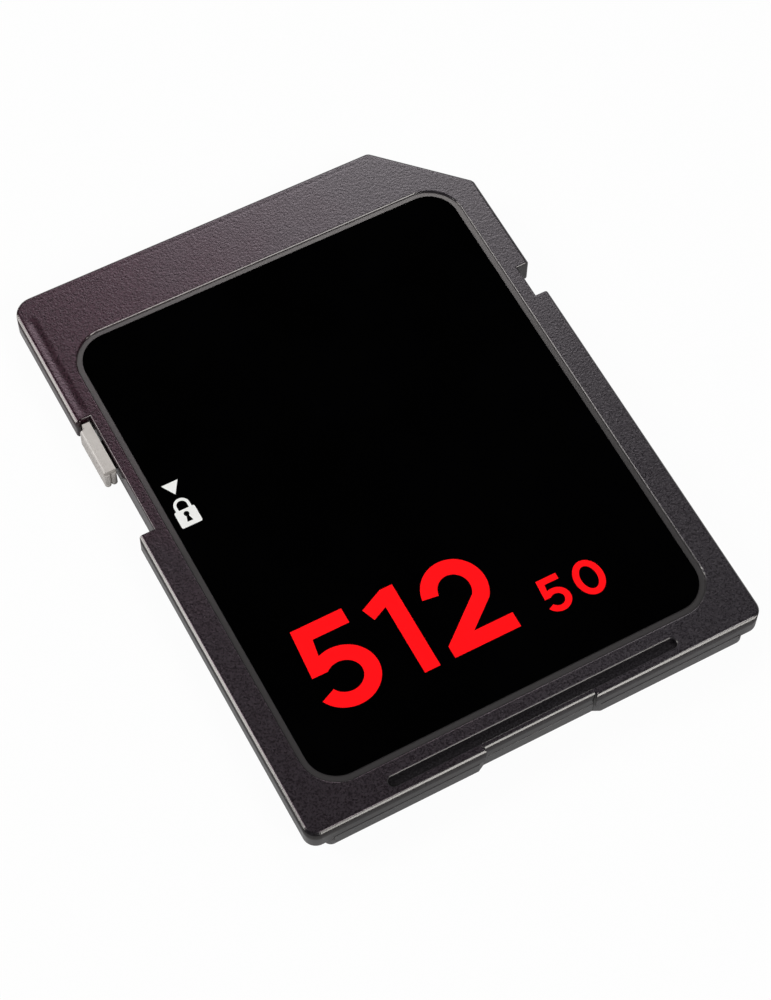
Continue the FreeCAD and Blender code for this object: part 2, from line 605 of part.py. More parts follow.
def make_slider():
    """The write protect slider: a grip in the slot, a tongue through the slit and a flange behind it."""
    body = new_body("write_protect_slider")
    front = f"({SLOT_FRONT} - Sizes.slider_end_gap)"
    rear = f"({front} - Sizes.slider_length)"
    middle = f"({front} - Sizes.slider_length / 2)"
    inside = f"({SLOT_WALL} - Sizes.slider_gap)"
    lobe = "((Sizes.slot_depth - Sizes.slider_gap) / 4)"
    grip_height = f"({TOP} - Sizes.slider_drop - {TRACK})"
    grip_top = f"({TOP} - Sizes.slider_drop)"
    grip = new_sketch(body, "grip_outline", TRACK)
    draw_polygon(grip, rectangle(LEFT, inside, f"({rear} + {lobe})", front))
    raise_pad(body, "grip", grip, grip_height)

    bite = new_sketch(body, "grip_step_outline", grip_top)
    draw_polygon(bite, rectangle(f"({LEFT} - Sizes.slider_bite_width)", f"({LEFT} + Sizes.slider_bite_width)",
                                 f"({front} - Sizes.slider_bite_length)",
                                 f"({front} + Sizes.slider_bite_length)"))
    cut_pocket(body, "grip_step", bite, grip_height)
    outer = value(LEFT)
    at_top = lies_at(grip_top)
    round_edges(body, "grip_edge", "Sizes.slider_round",
                lambda edge: at_top(edge) and abs(edge.BoundBox.XMax - outer) < TOUCH)

    lobes = new_sketch(body, "lobe_outlines", TRACK)
    for count in (1, 3):
        draw_circle(lobes, f"({LEFT} + {count} * {lobe})", f"({rear} + {lobe})", lobe)
    raise_pad(body, "lobes", lobes, f"{grip_height} - Sizes.slider_round")

    tongue = new_sketch(body, "tongue_outline", TRACK)
    draw_polygon(tongue, rectangle(f"({inside} - {lobe})", FLANGE_INSIDE,
                                   f"({middle} - Sizes.tongue_length / 2)",
                                   f"({middle} + Sizes.tongue_length / 2)"))
    raise_pad(body, "tongue", tongue, "Sizes.tongue_thickness")
    flange = new_sketch(body, "flange_outline", TRACK)
    draw_polygon(flange, rectangle(FLANGE_OUTSIDE, FLANGE_INSIDE,
                                   f"({middle} - Sizes.flange_length / 2)",
                                   f"({middle} + Sizes.flange_length / 2)"))
    raise_pad(body, "flange", flange, f"{CEILING} - Sizes.flange_headroom - {TRACK}")


def make_label():
    """The printed film in the recess of the upper shell."""
    body = new_body("face_label")
    half = f"({RECESS_RIGHT} - Sizes.label_side_gap)"
    corners = rectangle(f"-{half}", half, f"({RECESS_REAR} + Sizes.label_rear_gap)",
                        f"({RECESS_FRONT} - Sizes.label_front_gap)")
    outline = new_sketch(body, "label_outline", RECESS_FLOOR)
    draw_polygon(outline, corners)
    raise_pad(body, "label_film", outline, "Sizes.label_thickness")
    round_upright(body, "label_corners", "Sizes.label_radius", corners)


make_upper_shell()
make_lower_shell()
make_circuit_board()
for contact in contact_places():
    make_contact(*contact)
make_chips()
make_slider()
make_label()
doc.recompute()

for item in doc.Objects:
    if "Invalid" in item.State or "Error" in item.State:
        raise RuntimeError(f"{item.Label} failed: {item.State}")
for subpart in subparts:
    if subpart.Shape.isNull() or not subpart.Shape.isValid():
        raise RuntimeError(f"{subpart.Label} has no valid shape")

os.makedirs("parts", exist_ok=True)
for subpart in subparts:
    subpart.Shape.exportStep(f"parts/{subpart.Label}.step")
    print(f"{subpart.Label}: {len(subpart.Shape.Solids)} solid, {subpart.Shape.Volume:.3f} cubic mm")
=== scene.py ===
import math

import bmesh
import bpy
from mathutils import Euler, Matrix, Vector


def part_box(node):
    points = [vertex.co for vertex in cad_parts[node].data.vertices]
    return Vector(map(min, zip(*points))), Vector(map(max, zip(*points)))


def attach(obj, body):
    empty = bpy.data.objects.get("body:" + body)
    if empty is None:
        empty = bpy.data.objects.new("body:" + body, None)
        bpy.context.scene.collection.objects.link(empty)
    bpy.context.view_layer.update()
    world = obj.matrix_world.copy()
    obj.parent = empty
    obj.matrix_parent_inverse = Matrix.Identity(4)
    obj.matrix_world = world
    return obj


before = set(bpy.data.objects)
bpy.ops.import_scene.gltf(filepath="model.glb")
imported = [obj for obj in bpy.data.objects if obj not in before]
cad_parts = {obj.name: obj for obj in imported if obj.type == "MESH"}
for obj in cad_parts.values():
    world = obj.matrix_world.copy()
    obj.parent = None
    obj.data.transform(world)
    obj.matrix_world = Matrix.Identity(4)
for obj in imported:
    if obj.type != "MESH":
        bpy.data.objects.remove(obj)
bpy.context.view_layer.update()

# A full-size memory card, dressed in its real finishes.
# Sizes in this script are in millimetres until they are handed to Blender.
MM = 0.001

CARD_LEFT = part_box("upper_shell")[0][0] / MM
CARD_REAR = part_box("upper_shell")[0][1] / MM
CARD_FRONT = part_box("upper_shell")[1][1] / MM
CARD_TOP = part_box("upper_shell")[1][2] / MM
LABEL_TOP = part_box("face_label")[1][2] / MM
CAPACITOR_ROW = (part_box("capacitor_1")[0][1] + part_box("capacitor_1")[1][1]) / 2 / MM
RESISTOR_ROW = (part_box("resistor_1")[0][1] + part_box("resistor_1")[1][1]) / 2 / MM

# The label recess, with its rounded rim
RECESS_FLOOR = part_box("face_label")[0][2] / MM
RECESS_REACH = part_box("face_label")[1][0] / MM + 0.4
RECESS_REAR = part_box("face_label")[0][1] / MM - 0.45
RECESS_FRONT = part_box("face_label")[1][1] / MM + 0.45
RECESS_UNDER = CARD_TOP - 0.2

# The finger groove: half its length, its far edge, the bevel round it and a level under its floor
GROOVE_REACH = 7.7
GROOVE_FAR = CARD_REAR + 0.99
GROOVE_BEVEL = 0.05
GROOVE_UNDER = CARD_TOP - 0.33

# The rear edge, with its notch and the lower shell's lip under it
REAR_CORNER = 0.65
REAR_NOTCH_HALF = 2.9
REAR_NOTCH_DEPTH = 0.18
LIP_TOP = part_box("lower_shell")[1][2] / MM
LIP_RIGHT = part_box("lower_shell")[1][0] / MM - 0.4
LIP_GAP = 0.08

# How far the upper left and rear edges look rounded, and how steep that makes them
EDGE_REACH = 0.23
EDGE_STEEPNESS = 0.40
WALL_REACH = 0.65
WALL_STEEPNESS = 0.55

# How thick the ink lies on the label
INK_HEIGHT = 0.008

WHITE = (1, 1, 1, 1)

scene = bpy.context.scene
scene.view_settings.view_transform = "Standard"


# Nodes

def add_node(tree, kind, inputs=None, **settings):
    """A node with its settings, and with a value or a link for each named or numbered input."""
    made = tree.nodes.new(kind)
    for name, setting in settings.items():
        setattr(made, name, setting)
    for key, source in (inputs or {}).items():
        if isinstance(source, bpy.types.NodeSocket):
            tree.links.new(source, made.inputs[key])
        else:
            made.inputs[key].default_value = source
    return made


def calculate(tree, operation, first, second=0.0, clamp=False):
    """The result of one sum."""
    return add_node(tree, "ShaderNodeMath", {0: first, 1: second},
                    operation=operation, use_clamp=clamp).outputs[0]


def product(tree, first, *others):
    """Values multiplied together, in order."""
    for other in others:
        first = calculate(tree, "MULTIPLY", first, other)
    return first


def add_share(tree, base, mask, share):
    """A base value with a share of a mask added."""
    return calculate(tree, "ADD", base, calculate(tree, "MULTIPLY", mask, share))


def gap_to(tree, value, place):
    """How far a value is from a place, on either side."""
    return calculate(tree, "ABSOLUTE", calculate(tree, "SUBTRACT", value, place))


def within(tree, value, reach):
    """1 where a value is nearer to zero than a reach, and 0 elsewhere."""
    return calculate(tree, "LESS_THAN", calculate(tree, "ABSOLUTE", value), reach)


def short_of(tree, reach, value):
    """How far a value is short of a reach, and 0 past it."""
    return calculate(tree, "MAXIMUM", calculate(tree, "SUBTRACT", reach, value), 0.0)


def soft_step(tree, value, start, end):
    """0 before start, 1 after end and a smooth rise between them."""
    step = add_node(tree, "ShaderNodeMapRange", {"Value": value, "From Min": start, "From Max": end},
                    interpolation_type="SMOOTHSTEP")
    return step.outputs["Result"]


def between(tree, value, start, end, softness):
    """1 between two values, fading to 0 on both sides."""
    rise = soft_step(tree, value, start - softness, start)
    fall = soft_step(tree, value, end, end + softness)
    return calculate(tree, "SUBTRACT", rise, fall, clamp=True)


def blend_colours(tree, factor, first, second, kind="MIX"):
    """One colour mixed with another by a factor."""
    mixer = add_node(tree, "ShaderNodeMix", {0: factor, 6: first, 7: second},
                     data_type="RGBA", blend_type=kind)
    return mixer.outputs[2]


def axes_of(tree, place):
    """The three coordinates of a place."""
    return add_node(tree, "ShaderNodeSeparateXYZ", {0: place}).outputs


def noise(tree, place, scale, detail, roughness):
    """Cloudy values about a half."""
    return add_node(tree, "ShaderNodeTexNoise", {"Vector": place, "Scale": scale, "Detail": detail,
                                                 "Roughness": roughness}).outputs["Fac"]


def in_units(tree, place, size):
    """A place measured in units of a size."""
    return add_node(tree, "ShaderNodeVectorMath", {0: place, 3: calculate(tree, "DIVIDE", 1.0, size)},
                    operation="SCALE").outputs[0]


def new_tree(kind, name, inputs, outputs):
    """An empty node group with named sockets, and the sockets of its two end nodes."""
    tree = bpy.data.node_groups.new(name, kind)
    for label, content in inputs.items():
        tree.interface.new_socket(label, in_out="INPUT", socket_type="NodeSocket" + content)
    for label, content in outputs.items():
        tree.interface.new_socket(label, in_out="OUTPUT", socket_type="NodeSocket" + content)
    start = tree.nodes.new("NodeGroupInput")
    end = tree.nodes.new("NodeGroupOutput")
    return tree, start.outputs, end.inputs


def make_spark_texture():
    """The fine pitted skin that a spark-eroded mould leaves on plastic."""
    tree, given, result = new_tree("ShaderNodeTree", "spark_texture", {"Place": "Vector", "Grain Size": "Float"},
                                   {"Height": "Float", "Speck": "Float"})
    spread = in_units(tree, given["Place"], given["Grain Size"])
    pits = add_node(tree, "ShaderNodeTexVoronoi", {"Vector": spread, "Scale": 0.7, "Randomness": 1.0},
                    feature="SMOOTH_F1").outputs["Distance"]
    grain = noise(tree, spread, 1.0, 2.0, 0.6)
    speck = noise(tree, spread, 0.8, 3.0, 0.75)
    tree.links.new(add_share(tree, product(tree, pits, 0.5), grain, 0.7), result["Height"])
    tree.links.new(soft_step(tree, speck, 0.3, 0.7), result["Speck"])
    return tree


def make_slow_shade():
    """Broad uneven shade, as plastic and ink have from the way they flow."""
    tree, given, result = new_tree("ShaderNodeTree", "slow_shade", {"Place": "Vector", "Patch Size": "Float"},
                                   {"Shade": "Float"})
    cloud = noise(tree, in_units(tree, given["Place"], given["Patch Size"]), 1.0, 2.0, 0.5)
    tree.links.new(soft_step(tree, cloud, 0.25, 0.75), result["Shade"])
    return tree


def make_rubbed_lines():
    """Fine lines along the card, as sliding contact leaves."""
    tree, given, result = new_tree("ShaderNodeTree", "rubbed_lines", {"Place": "Vector", "Line Width": "Float"},
                                   {"Line": "Float", "Height": "Float"})
    drawn = add_node(tree, "ShaderNodeVectorMath", {0: given["Place"], 1: (1.0, 0.03, 1.0)},
                     operation="MULTIPLY").outputs[0]
    lines = noise(tree, in_units(tree, drawn, given["Line Width"]), 1.0, 3.0, 0.7)
    tree.links.new(soft_step(tree, lines, 0.45, 0.75), result["Line"])
    tree.links.new(lines, result["Height"])
    return tree


spark_texture = make_spark_texture()
slow_shade = make_slow_shade()
rubbed_lines = make_rubbed_lines()


def use_group(tree, group, inputs):
    """The outputs of a shader group placed in a material, with its own values."""
    return add_node(tree, "ShaderNodeGroup", inputs, node_tree=group).outputs


def grain_of(tree, place, size):
    """Spark texture of a grain size."""
    return use_group(tree, spark_texture, {"Place": place, "Grain Size": size})


def shade_of(tree, place, size):
    """Slow shade in patches of a size."""
    return use_group(tree, slow_shade, {"Place": place, "Patch Size": size})["Shade"]


def new_material(name):
    """A material with its node tree, its surface shader and the place on the card in millimetres."""
    material = bpy.data.materials.new(name)
    material.use_nodes = True
    tree = material.node_tree
    surface = tree.nodes["Principled BSDF"]
    coordinates = add_node(tree, "ShaderNodeTexCoord")
    place = add_node(tree, "ShaderNodeVectorMath", {0: coordinates.outputs["Object"], 3: 1 / MM},
                     operation="SCALE").outputs[0]
    return material, tree, surface, place


def connect(tree, surface, sources):
    """Links sources to a surface's named inputs."""
    for name, source in sources.items():
        tree.links.new(source, surface.inputs[name])


def add_relief(tree, height, depth, beneath=None):
    """A normal from a height whose full range is depth in millimetres, over an earlier relief if there is one."""
    bump = add_node(tree, "ShaderNodeBump", {"Height": height, "Distance": depth * MM, "Strength": 1.0})
    if beneath:
        tree.links.new(beneath, bump.inputs["Normal"])
    return bump.outputs["Normal"]


# Finish of the shells

def soft_edges(tree, axes):
    """Height in millimetres that shades the upper left and rear edges rounder than their fillet."""
    notch = between(tree, axes["X"], -REAR_NOTCH_HALF, REAR_NOTCH_HALF, 0.02)
    rear = add_share(tree, CARD_REAR, notch, REAR_NOTCH_DEPTH)
    along = short_of(tree, REAR_CORNER, calculate(tree, "SUBTRACT", axes["Y"], rear))
    across = short_of(tree, REAR_CORNER, calculate(tree, "SUBTRACT", axes["X"], CARD_LEFT))
    corner = calculate(tree, "SQRT", calculate(tree, "ADD", product(tree, across, across),
                                               product(tree, along, along)))
    from_edge = calculate(tree, "SUBTRACT", REAR_CORNER, corner)
    inward = short_of(tree, EDGE_REACH, from_edge)
    inward = product(tree, inward, inward, -EDGE_STEEPNESS / EDGE_REACH)
    upward = short_of(tree, WALL_REACH, calculate(tree, "SUBTRACT", CARD_TOP, axes["Z"]))
    upward = calculate(tree, "SUBTRACT", WALL_REACH ** 2, product(tree, upward, upward))
    upward = product(tree, upward, WALL_STEEPNESS / WALL_REACH, soft_step(tree, from_edge, 0.40, 0.25))
    return calculate(tree, "ADD", inward, upward)


def soft_rim(tree, axes):
    """Height in millimetres that flattens the shading of the label recess's rounded rim halfway down."""
    recess = product(tree, within(tree, axes["X"], RECESS_REACH),
                     calculate(tree, "GREATER_THAN", axes["Y"], RECESS_REAR),
                     calculate(tree, "LESS_THAN", axes["Y"], RECESS_FRONT),
                     calculate(tree, "GREATER_THAN", axes["Z"], RECESS_UNDER))
    drop = calculate(tree, "SUBTRACT", calculate(tree, "SUBTRACT", CARD_TOP, axes["Z"]), 0.013)
    drop = calculate(tree, "MINIMUM", calculate(tree, "MAXIMUM", drop, 0.0), 0.04)
    return product(tree, drop, drop, 5.5, recess)


def groove_mask(tree, axes):
    """1 in the finger groove and on its bevel."""
    return product(tree, between(tree, axes["Y"], GROOVE_FAR - 0.60, GROOVE_FAR + 0.06, 0.01),
                   within(tree, axes["X"], GROOVE_REACH),
                   calculate(tree, "GREATER_THAN", axes["Z"], GROOVE_UNDER))


def sink_marks(tree, axes):
    """Height in millimetres of the shallow sink marks along the left and front edges."""
    off_left = gap_to(tree, axes["X"], CARD_LEFT + 0.55)
    left = product(tree, soft_step(tree, off_left, 0.35, 0.0),
                   between(tree, axes["Y"], 9.0, 14.4, 0.6), -0.02)
    off_front = gap_to(tree, axes["Y"], CARD_FRONT - 0.36)
    front = product(tree, soft_step(tree, off_front, 0.13, 0.0),
                    between(tree, axes["X"], -10.4, 6.8, 0.6), -0.002)
    return calculate(tree, "ADD", left, front)


def shell_colour(tree, axes, place, speck, recess):
    """Specked plum-charcoal colours, with a painted reflection tint that turns them more plum at the far left and
    grey on the right, and a plainer, paler colour on the recess floor with a painted sheen that makes it lighter
    towards the front.
    """
    drift = product(tree, shade_of(tree, place, 2.5), 5.0)
    # The shift from plum at the far left to grey on the right is a painted tint of reflected light.
    to_right = soft_step(tree, calculate(tree, "ADD", axes["X"], drift), -7.0, 10.0)
    to_front = soft_step(tree, calculate(tree, "ADD", axes["Y"], drift), -2.0, 11.0)
    dark = blend_colours(tree, to_front, (0.0030, 0.0022, 0.0030, 1), (0.0020, 0.0004, 0.0010, 1))
    dark = blend_colours(tree, to_right, dark, (0.0045, 0.0035, 0.0050, 1))
    light = blend_colours(tree, to_front, (0.021, 0.019, 0.022, 1), (0.035, 0.0115, 0.0195, 1))
    light = blend_colours(tree, to_right, light, (0.030, 0.027, 0.031, 1))
    skin = blend_colours(tree, product(tree, speck, 0.75), dark, light)
    # Painted sheen: the recess floor is lighter towards the front.
    floor = blend_colours(tree, to_front, (0.028, 0.026, 0.027, 1), (0.052, 0.046, 0.049, 1))
    return blend_colours(tree, recess, skin, floor)


def shell_sheen(tree, axes, textured):
    """Tint of the reflections: plum to grey on textured faces and a warm neutral one on the walls."""
    sheen = blend_colours(tree, soft_step(tree, axes["X"], -9.0, 11.0),
                          (1.0, 0.74, 0.87, 1), (1.0, 0.91, 0.97, 1))
    return blend_colours(tree, textured, (1.0, 0.96, 0.91, 1), sheen)


def make_shell_plastic(name, paler, wall_rough):
    """Dark moulded plastic with spark-textured faces, polished walls and a smooth recess."""
    material, tree, surface, place = new_material(name)
    axes = axes_of(tree, place)
    top_face = soft_step(tree, axes["Z"], CARD_TOP - 0.02, CARD_TOP - 0.002)
    back_face = soft_step(tree, axes["Z"], 0.02, 0.002)
    textured = calculate(tree, "MAXIMUM", top_face, back_face)
    recess = product(tree, between(tree, axes["Z"], RECESS_FLOOR - 0.01, RECESS_FLOOR + 0.01, 0.005),
                     within(tree, axes["X"], RECESS_REACH))
    groove = groove_mask(tree, axes)
    bevel = product(tree, groove,
                    between(tree, axes["Z"], CARD_TOP - GROOVE_BEVEL, CARD_TOP - 0.004, 0.004))
    grain = grain_of(tree, place, 0.085)

    colour = shell_colour(tree, axes, place, grain["Speck"], recess)
    colour = blend_colours(tree, 1.0, colour, (paler, paler, paler, 1), "ADD")
    rough = add_share(tree, wall_rough, add_share(tree, 0.05, grain["Speck"], 0.11), textured)
    rough = add_share(tree, rough, recess, 0.09)
    rough = add_share(tree, rough, bevel, 0.12)

    drop = calculate(tree, "MINIMUM", calculate(tree, "SUBTRACT", CARD_TOP, axes["Z"]), GROOVE_BEVEL)
    relief = add_relief(tree, soft_edges(tree, axes), 1.0)
    relief = add_relief(tree, product(tree, drop, groove, 0.17), 1.0, relief)
    relief = add_relief(tree, soft_rim(tree, axes), 1.0, relief)
    relief = add_relief(tree, product(tree, sink_marks(tree, axes), textured), 1.0, relief)
    relief = add_relief(tree, product(tree, grain["Height"], textured), 0.009, relief)
    connect(tree, surface, {"Base Color": colour, "Roughness": rough, "Normal": relief,
                            "Specular Tint": shell_sheen(tree, axes, textured)})
    return material


# Finishes of the other parts

def make_label_film():
    """Flat black printed film with a faint skin."""
    material, tree, surface, place = new_material("label_film")
    grain = grain_of(tree, place, 0.05)
    black = blend_colours(tree, shade_of(tree, place, 4.0),
                          (0.0003, 0.0003, 0.0003, 1), (0.0005, 0.0005, 0.0006, 1))
    connect(tree, surface, {"Base Color": black, "Roughness": add_share(tree, 0.55, grain["Speck"], 0.1),
                            "Normal": add_relief(tree, grain["Height"], 0.002)})
    surface.inputs["Specular IOR Level"].default_value = 0.0
    return material


def make_seam_shadow_black():
    """Dull near-black finish for the painted shadow in the rear seam."""
    material, tree, surface, place = new_material("seam_shadow_black")
    grain = grain_of(tree, place, 0.05)
    black = blend_colours(tree, grain["Speck"], (0.004, 0.003, 0.004, 1), (0.014, 0.011, 0.013, 1))
    connect(tree, surface, {"Base Color": black, "Roughness": add_share(tree, 0.60, grain["Speck"], 0.2),
                            "Normal": add_relief(tree, grain["Height"], 0.008)})
    surface.inputs["Specular IOR Level"].default_value = 0.1
    return material


def make_slider_plastic():
    """Smooth warm light grey plastic."""
    material, tree, surface, place = new_material("slider_plastic")
    grain = grain_of(tree, place, 0.09)
    grey = blend_colours(tree, shade_of(tree, place, 0.8),
                         (0.385, 0.357, 0.336, 1), (0.43, 0.405, 0.380, 1))
    grey = blend_colours(tree, product(tree, grain["Speck"], 0.10), grey, (0.35, 0.325, 0.30, 1))
    connect(tree, surface, {"Base Color": grey, "Roughness": add_share(tree, 0.40, grain["Speck"], 0.08),
                            "Normal": add_relief(tree, grain["Height"], 0.003)})
    return material


def make_contact_gold():
    """Thin hard gold over nickel, with faint lines from the socket's springs."""
    material, tree, surface, place = new_material("contact_gold")
    lines = use_group(tree, rubbed_lines, {"Place": place, "Line Width": 0.05})
    grain = grain_of(tree, place, 0.04)
    gold = blend_colours(tree, shade_of(tree, place, 0.9), (0.78, 0.54, 0.20, 1), (0.86, 0.64, 0.29, 1))
    gold = blend_colours(tree, product(tree, lines["Line"], 0.35), gold, (0.92, 0.76, 0.46, 1))
    rough = calculate(tree, "SUBTRACT", 0.36, product(tree, lines["Line"], 0.14))
    height = calculate(tree, "ADD", product(tree, grain["Height"], 0.6), lines["Height"])
    connect(tree, surface, {"Base Color": gold, "Roughness": rough,
                            "Normal": add_relief(tree, height, 0.002)})
    surface.inputs["Metallic"].default_value = 1.0
    return material


def make_solder_resist():
    """Dark green solder resist over copper tracks and glass cloth."""
    material, tree, surface, place = new_material("solder_resist")
    grain = grain_of(tree, place, 0.12)
    tracks = add_node(tree, "ShaderNodeTexBrick",
                      {"Vector": place, "Scale": 1.0, "Mortar Size": 0.09, "Mortar Smooth": 0.2,
                       "Brick Width": 2.6, "Row Height": 0.55}).outputs["Fac"]
    green = blend_colours(tree, shade_of(tree, place, 3.0),
                          (0.010, 0.060, 0.028, 1), (0.016, 0.085, 0.040, 1))
    green = blend_colours(tree, product(tree, tracks, 0.7), green, (0.045, 0.15, 0.055, 1))
    height = add_share(tree, tracks, grain["Height"], 0.2)
    connect(tree, surface, {"Base Color": green, "Roughness": add_share(tree, 0.28, grain["Speck"], 0.1),
                            "Normal": add_relief(tree, height, 0.012)})
    return material


def make_chip_compound():
    """Black moulding compound with a fine filler."""
    material, tree, surface, place = new_material("chip_compound")
    grain = grain_of(tree, place, 0.06)
    black = blend_colours(tree, grain["Speck"], (0.013, 0.013, 0.014, 1), (0.030, 0.030, 0.032, 1))
    black = blend_colours(tree, product(tree, shade_of(tree, place, 3.5), 0.3),
                          black, (0.024, 0.024, 0.028, 1))
    connect(tree, surface, {"Base Color": black, "Roughness": add_share(tree, 0.50, grain["Speck"], 0.12),
                            "Normal": add_relief(tree, grain["Height"], 0.006)})
    return material


def make_end_capped(name, row, dark, light):
    """A ceramic body whose two ends are tinned."""
    material, tree, surface, place = new_material(name)
    cap = soft_step(tree, gap_to(tree, axes_of(tree, place)["Y"], row), 0.26, 0.28)
    grain = grain_of(tree, place, 0.05)
    body = blend_colours(tree, grain["Speck"], dark, light)
    tin = blend_colours(tree, grain["Speck"], (0.60, 0.60, 0.58, 1), (0.74, 0.74, 0.72, 1))
    connect(tree, surface, {"Base Color": blend_colours(tree, cap, body, tin), "Metallic": cap,
                            "Roughness": add_share(tree, 0.35, grain["Speck"], 0.15),
                            "Normal": add_relief(tree, grain["Height"], 0.006)})
    return material


def make_ink(name, thin, full):
    """Screen-printed ink, a little uneven, with a soft skin."""
    material, tree, surface, place = new_material(name)
    grain = grain_of(tree, place, 0.06)
    cover = add_share(tree, product(tree, shade_of(tree, place, 1.5), 0.6), grain["Speck"], 0.4)
    connect(tree, surface, {"Base Color": blend_colours(tree, cover, thin, full),
                            "Roughness": add_share(tree, 0.50, grain["Speck"], 0.1),
                            "Normal": add_relief(tree, grain["Height"], 0.002)})
    surface.inputs["Specular IOR Level"].default_value = 0.1
    return material


upper_plastic = make_shell_plastic("upper_plastic", 0.0, 0.18)
lower_plastic = make_shell_plastic("lower_plastic", 0.028, 0.27)
label_film = make_label_film()
# Near-black finish for the painted shadow in the rear seam.
seam_shadow_black = make_seam_shadow_black()
slider_plastic = make_slider_plastic()
contact_gold = make_contact_gold()
solder_resist = make_solder_resist()
chip_compound = make_chip_compound()
capacitor_ceramic = make_end_capped("capacitor_ceramic", CAPACITOR_ROW,
                                    (0.40, 0.29, 0.19, 1), (0.56, 0.43, 0.30, 1))
resistor_glaze = make_end_capped("resistor_glaze", RESISTOR_ROW,
                                 (0.020, 0.020, 0.022, 1), (0.050, 0.050, 0.055, 1))
red_ink = make_ink("red_ink", (0.90, 0.0, 0.002, 1), (1.0, 0.0, 0.003, 1))
grey_ink = make_ink("grey_ink", (0.66, 0.66, 0.64, 1), (0.74, 0.74, 0.72, 1))


# Shading of the solids

def make_edge_shading():
    """Smooth shading that stays sharp round flat faces and where two faces meet at more than an angle."""
    tree, given, result = new_tree("GeometryNodeTree", "edge_shading",
                                   {"Geometry": "Geometry", "Sharp Angle": "Float"}, {"Geometry": "Geometry"})
    smooth = add_node(tree, "GeometryNodeSetShadeSmooth", {"Geometry": given["Geometry"]}, domain="FACE")
    angle = add_node(tree, "GeometryNodeInputMeshEdgeAngle").outputs["Unsigned Angle"]
    sharp = add_node(tree, "FunctionNodeCompare", {0: angle, 1: given["Sharp Angle"]},
                     data_type="FLOAT", operation="GREATER_THAN").outputs[0]
    facing = add_node(tree, "GeometryNodeInputNormal").outputs["True Normal"]
    parts = axes_of(tree, add_node(tree, "ShaderNodeVectorMath", {0: facing}, operation="ABSOLUTE").outputs[0])
    square = calculate(tree, "MAXIMUM", calculate(tree, "MAXIMUM", parts["X"], parts["Y"]), parts["Z"])
    flat = calculate(tree, "GREATER_THAN", square, 0.9999)
    flat = add_node(tree, "GeometryNodeFieldOnDomain", {0: flat}, data_type="FLOAT", domain="FACE").outputs[0]
    # An edge between a flat face and a curved one takes the mean of 1 and 0.
    rim = add_node(tree, "FunctionNodeCompare", {0: flat, 1: 0.5, "Epsilon": 0.25},
                   data_type="FLOAT", operation="EQUAL").outputs[0]
    hard = add_node(tree, "FunctionNodeBooleanMath", {0: sharp, 1: rim}, operation="OR").outputs[0]
    edges = add_node(tree, "GeometryNodeSetShadeSmooth",
                     {"Geometry": smooth.outputs[0], "Selection": hard, "Shade Smooth": False}, domain="EDGE")
    tree.links.new(edges.outputs[0], result["Geometry"])
    return tree


edge_shading = make_edge_shading()


def add_geometry_nodes(target, name, tree, inputs):
    """A modifier that runs a geometry tree with a value for each named input."""
    modifier = target.modifiers.new(name, "NODES")
    modifier.node_group = tree
    for item in tree.interface.items_tree:
        if item.in_out == "INPUT" and item.name in inputs:
            modifier[item.identifier] = inputs[item.name]


def dress(node, material):
    """Gives a solid its finish and smooth shading on its rounded edges."""
    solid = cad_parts[node]
    solid.data.materials.clear()
    solid.data.materials.append(material)
    weld = solid.modifiers.new("weld", "WELD")
    weld.merge_threshold = 0.0005 * MM
    add_geometry_nodes(solid, "shading", edge_shading, {"Sharp Angle": math.radians(30)})
    normals = solid.modifiers.new("normals", "WEIGHTED_NORMAL")
    normals.keep_sharp = True


dress("upper_shell", upper_plastic)
dress("lower_shell", lower_plastic)
dress("face_label", label_film)
dress("write_protect_slider", slider_plastic)
dress("circuit_board", solder_resist)
dress("memory_chip", chip_compound)
dress("controller_chip", chip_compound)
for number in range(1, 10):
    dress(f"contact_{number}", contact_gold)
for number in range(1, 5):
    dress(f"capacitor_{number}", capacitor_ceramic)
for number in range(1, 4):
    dress(f"resistor_{number}", resistor_glaze)


# Pieces made from drawings

def add_line(curve, points, level, closed):
    """A line of straight steps in a curve, at one level."""
    spline = curve.splines.new("POLY")
    spline.points.add(len(points) - 1)
    for point, (x, y) in zip(spline.points, points):
        point.co = (x * MM, y * MM, level * MM, 1)
    spline.use_cyclic_u = closed


def start_drawing(name, curve):
    """An object that shows a curve until its mesh is made."""
    drawing = bpy.data.objects.new(name, curve)
    scene.collection.objects.link(drawing)
    return drawing


def finish_drawing(drawing, name, lift=0.0):
    """A piece with the clean mesh of a drawing, lifted by some metres. The drawing is removed."""
    evaluated = drawing.evaluated_get(bpy.context.evaluated_depsgraph_get())
    mesh = bpy.data.meshes.new_from_object(evaluated)
    bpy.data.objects.remove(drawing)
    work = bmesh.new()
    work.from_mesh(mesh)
    bmesh.ops.remove_doubles(work, verts=work.verts, dist=0.0001 * MM)
    bmesh.ops.translate(work, verts=work.verts, vec=(0, 0, lift))
    bmesh.ops.recalc_face_normals(work, faces=work.faces)
    work.to_mesh(mesh)
    work.free()
    mesh.name = name
    piece = bpy.data.objects.new(name, mesh)
    scene.collection.objects.link(piece)
    return piece


# Painted shadow line in the rear seam

def make_bar_sweep():
    """A bar of rectangular section that follows a path."""
    tree, given, result = new_tree("GeometryNodeTree", "bar_sweep",
                                   {"Geometry": "Geometry", "Depth": "Float", "Height": "Float",
                                    "Finish": "Material"}, {"Geometry": "Geometry"})
    upright = add_node(tree, "GeometryNodeSetCurveNormal", {"Curve": given["Geometry"]}, mode="Z_UP")
    section = add_node(tree, "GeometryNodeCurvePrimitiveQuadrilateral",
                       {"Width": given["Depth"], "Height": given["Height"]}, mode="RECTANGLE")
    bar = add_node(tree, "GeometryNodeCurveToMesh",
                   {"Curve": upright.outputs[0], "Profile Curve": section.outputs[0], "Fill Caps": True})
    real = add_node(tree, "GeometryNodeRealizeInstances", {"Geometry": bar.outputs[0]})
    finished = add_node(tree, "GeometryNodeSetMaterial",
                        {"Geometry": real.outputs[0], "Material": given["Finish"]})
    tree.links.new(finished.outputs[0], result["Geometry"])
    return tree


